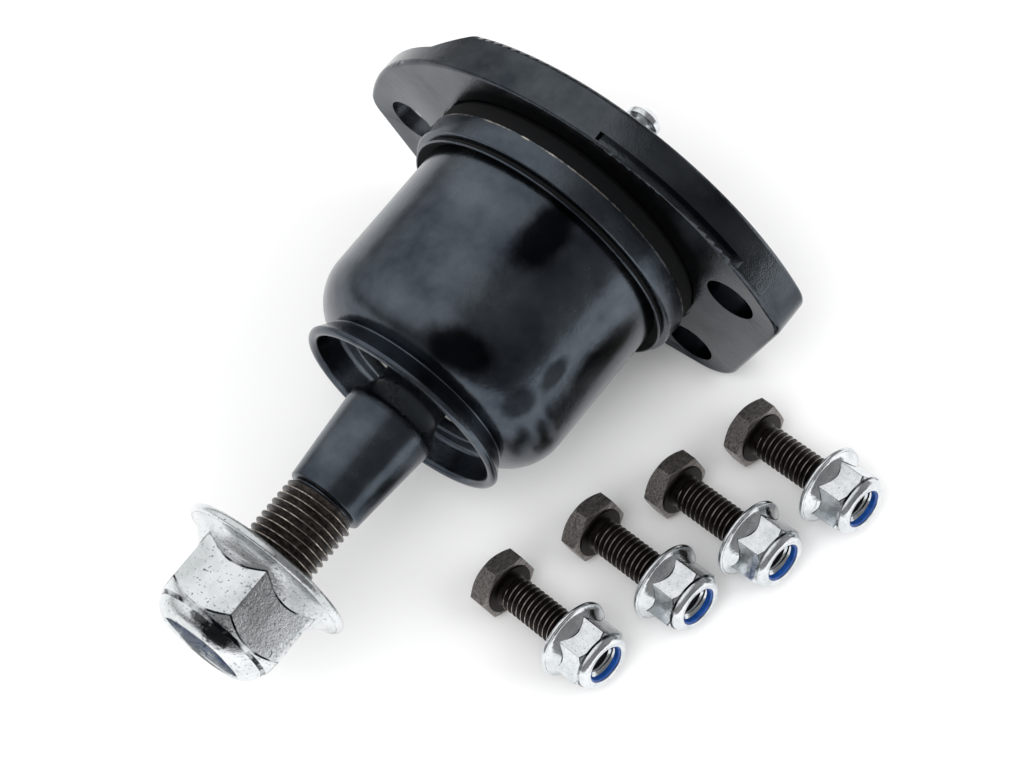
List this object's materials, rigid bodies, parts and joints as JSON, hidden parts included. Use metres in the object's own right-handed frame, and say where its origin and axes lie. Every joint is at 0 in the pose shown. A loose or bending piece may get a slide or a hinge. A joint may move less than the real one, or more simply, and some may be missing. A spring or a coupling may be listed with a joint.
{
  "type": "suspension ball joint",
  "caption": "Suspension ball joint: tapered threaded stud swinging in a bell housing on an arched bolt-on plate, with its flange nut and loose bolts with lock nuts.",
  "frame": {"origin": "where the stud axis crosses the mounting plate's seating face, which is the end of the pilot band", "axes": "-Y along the stud, away from the plate; X along the plate; +Z towards the plate's arched side, with the plate's straight side and the loose bolts at the bottom"},
  "size_m": [0.1055, 0.1138, 0.0611],
  "materials": {
    "black_coat": "semi-gloss black coating",
    "stud_coat": "black coated forging",
    "bright_zinc": "bright zinc plate",
    "black_oxide": "black oxide",
    "blue_nylon": "moulded nylon",
    "bearing_iron": "sintered iron",
    "bearing_plastic": "moulded acetal",
    "spring_steel": "plain spring steel",
    "seal_rubber": "moulded nitrile rubber"
  },
  "bodies": {
    "housing": {"mounting_plate": "black_coat", "housing_bell": "black_coat", "clinch_band": "black_coat", "cover_seal": "seal_rubber", "pressure_plate": "bearing_iron", "preload_spring": "spring_steel", "bearing_seat": "bearing_iron", "grease_fitting_body": "bright_zinc", "grease_check_spring": "spring_steel", "mounting_bolt_1": "black_oxide", "mounting_bolt_2": "black_oxide", "mounting_bolt_3": "black_oxide", "mounting_bolt_4": "black_oxide"},
    "bearing": {"bearing_shell": "bearing_plastic"},
    "cap": {"ball_cap": "bearing_iron"},
    "stud": {"ball_stud": "stud_coat"},
    "nut_collar": {"stud_nut_insert": "blue_nylon"},
    "nut": {"stud_nut": "bright_zinc"},
    "check_ball": {"grease_check_ball": "spring_steel"},
    "lock_collar_1": {"lock_nut_insert_1": "blue_nylon"},
    "lock_nut_1": {"lock_nut_1": "bright_zinc"},
    "lock_collar_2": {"lock_nut_insert_2": "blue_nylon"},
    "lock_nut_2": {"lock_nut_2": "bright_zinc"},
    "lock_collar_3": {"lock_nut_insert_3": "blue_nylon"},
    "lock_nut_3": {"lock_nut_3": "bright_zinc"},
    "lock_collar_4": {"lock_nut_insert_4": "blue_nylon"},
    "lock_nut_4": {"lock_nut_4": "bright_zinc"}
  },
  "joints": [
    {"name": "swing_up_down", "type": "hinge", "parent": "housing", "child": "bearing", "pos_m": [0, -0.024, 0], "axis": [1, 0, 0], "range_deg": [-16, 16]},
    {"name": "swing_sideways", "type": "hinge", "parent": "bearing", "child": "cap", "pos_m": [0, -0.024, 0], "axis": [0, 0, 1], "range_deg": [-16, 16]},
    {"name": "stud_spin", "type": "hinge", "parent": "cap", "child": "stud", "pos_m": [0, -0.024, 0], "axis": [0, -1, 0], "continuous": true},
    {"name": "nut_travel", "type": "slide", "parent": "stud", "child": "nut_collar", "axis": [0, -1, 0], "range_m": [-0.0114, 0.006]},
    {"name": "nut_turn", "type": "hinge", "parent": "nut_collar", "child": "nut", "pos_m": [0, -0.0754, 0], "axis": [0, -1, 0], "range_deg": [-3240, 1710]},
    {"name": "check_valve", "type": "slide", "parent": "housing", "child": "check_ball", "axis": [0, -1, 0], "range_m": [0, 0.0006], "stiffness_N_per_m": 150, "springref_m": -0.0005},
    {"name": "lock_travel_1", "type": "slide", "parent": "housing", "child": "lock_collar_1", "axis": [0.9925, -0.0973, 0.0741], "range_m": [-0.0117, 0.0026]},
    {"name": "lock_turn_1", "type": "hinge", "parent": "lock_collar_1", "child": "lock_nut_1", "pos_m": [0.04285, -0.05335, -0.02225], "axis": [0.9925, -0.0973, 0.0741], "range_deg": [-4220, 940]},
    {"name": "lock_travel_2", "type": "slide", "parent": "housing", "child": "lock_collar_2", "axis": [0.9925, -0.0973, 0.0741], "range_m": [-0.0117, 0.0026]},
    {"name": "lock_turn_2", "type": "hinge", "parent": "lock_collar_2", "child": "lock_nut_2", "pos_m": [0.04905, -0.03745, -0.02225], "axis": [0.9925, -0.0973, 0.0741], "range_deg": [-4220, 940]},
    {"name": "lock_travel_3", "type": "slide", "parent": "housing", "child": "lock_collar_3", "axis": [0.9925, -0.0973, 0.0741], "range_m": [-0.0117, 0.0026]},
    {"name": "lock_turn_3", "type": "hinge", "parent": "lock_collar_3", "child": "lock_nut_3", "pos_m": [0.05565, -0.02405, -0.02225], "axis": [0.9925, -0.0973, 0.0741], "range_deg": [-4220, 940]},
    {"name": "lock_travel_4", "type": "slide", "parent": "housing", "child": "lock_collar_4", "axis": [0.9925, -0.0973, 0.0741], "range_m": [-0.0117, 0.0026]},
    {"name": "lock_turn_4", "type": "hinge", "parent": "lock_collar_4", "child": "lock_nut_4", "pos_m": [0.06085, -0.00955, -0.02225], "axis": [0.9925, -0.0973, 0.0741], "range_deg": [-4220, 940]}
  ],
  "couplings": [
    {"joint": "nut_turn", "follows": "nut_travel", "rad_per_m": 4947.4},
    {"joint": "lock_turn_1", "follows": "lock_travel_1", "rad_per_m": 6283.2},
    {"joint": "lock_turn_2", "follows": "lock_travel_2", "rad_per_m": 6283.2},
    {"joint": "lock_turn_3", "follows": "lock_travel_3", "rad_per_m": 6283.2},
    {"joint": "lock_turn_4", "follows": "lock_travel_4", "rad_per_m": 6283.2}
  ]
}
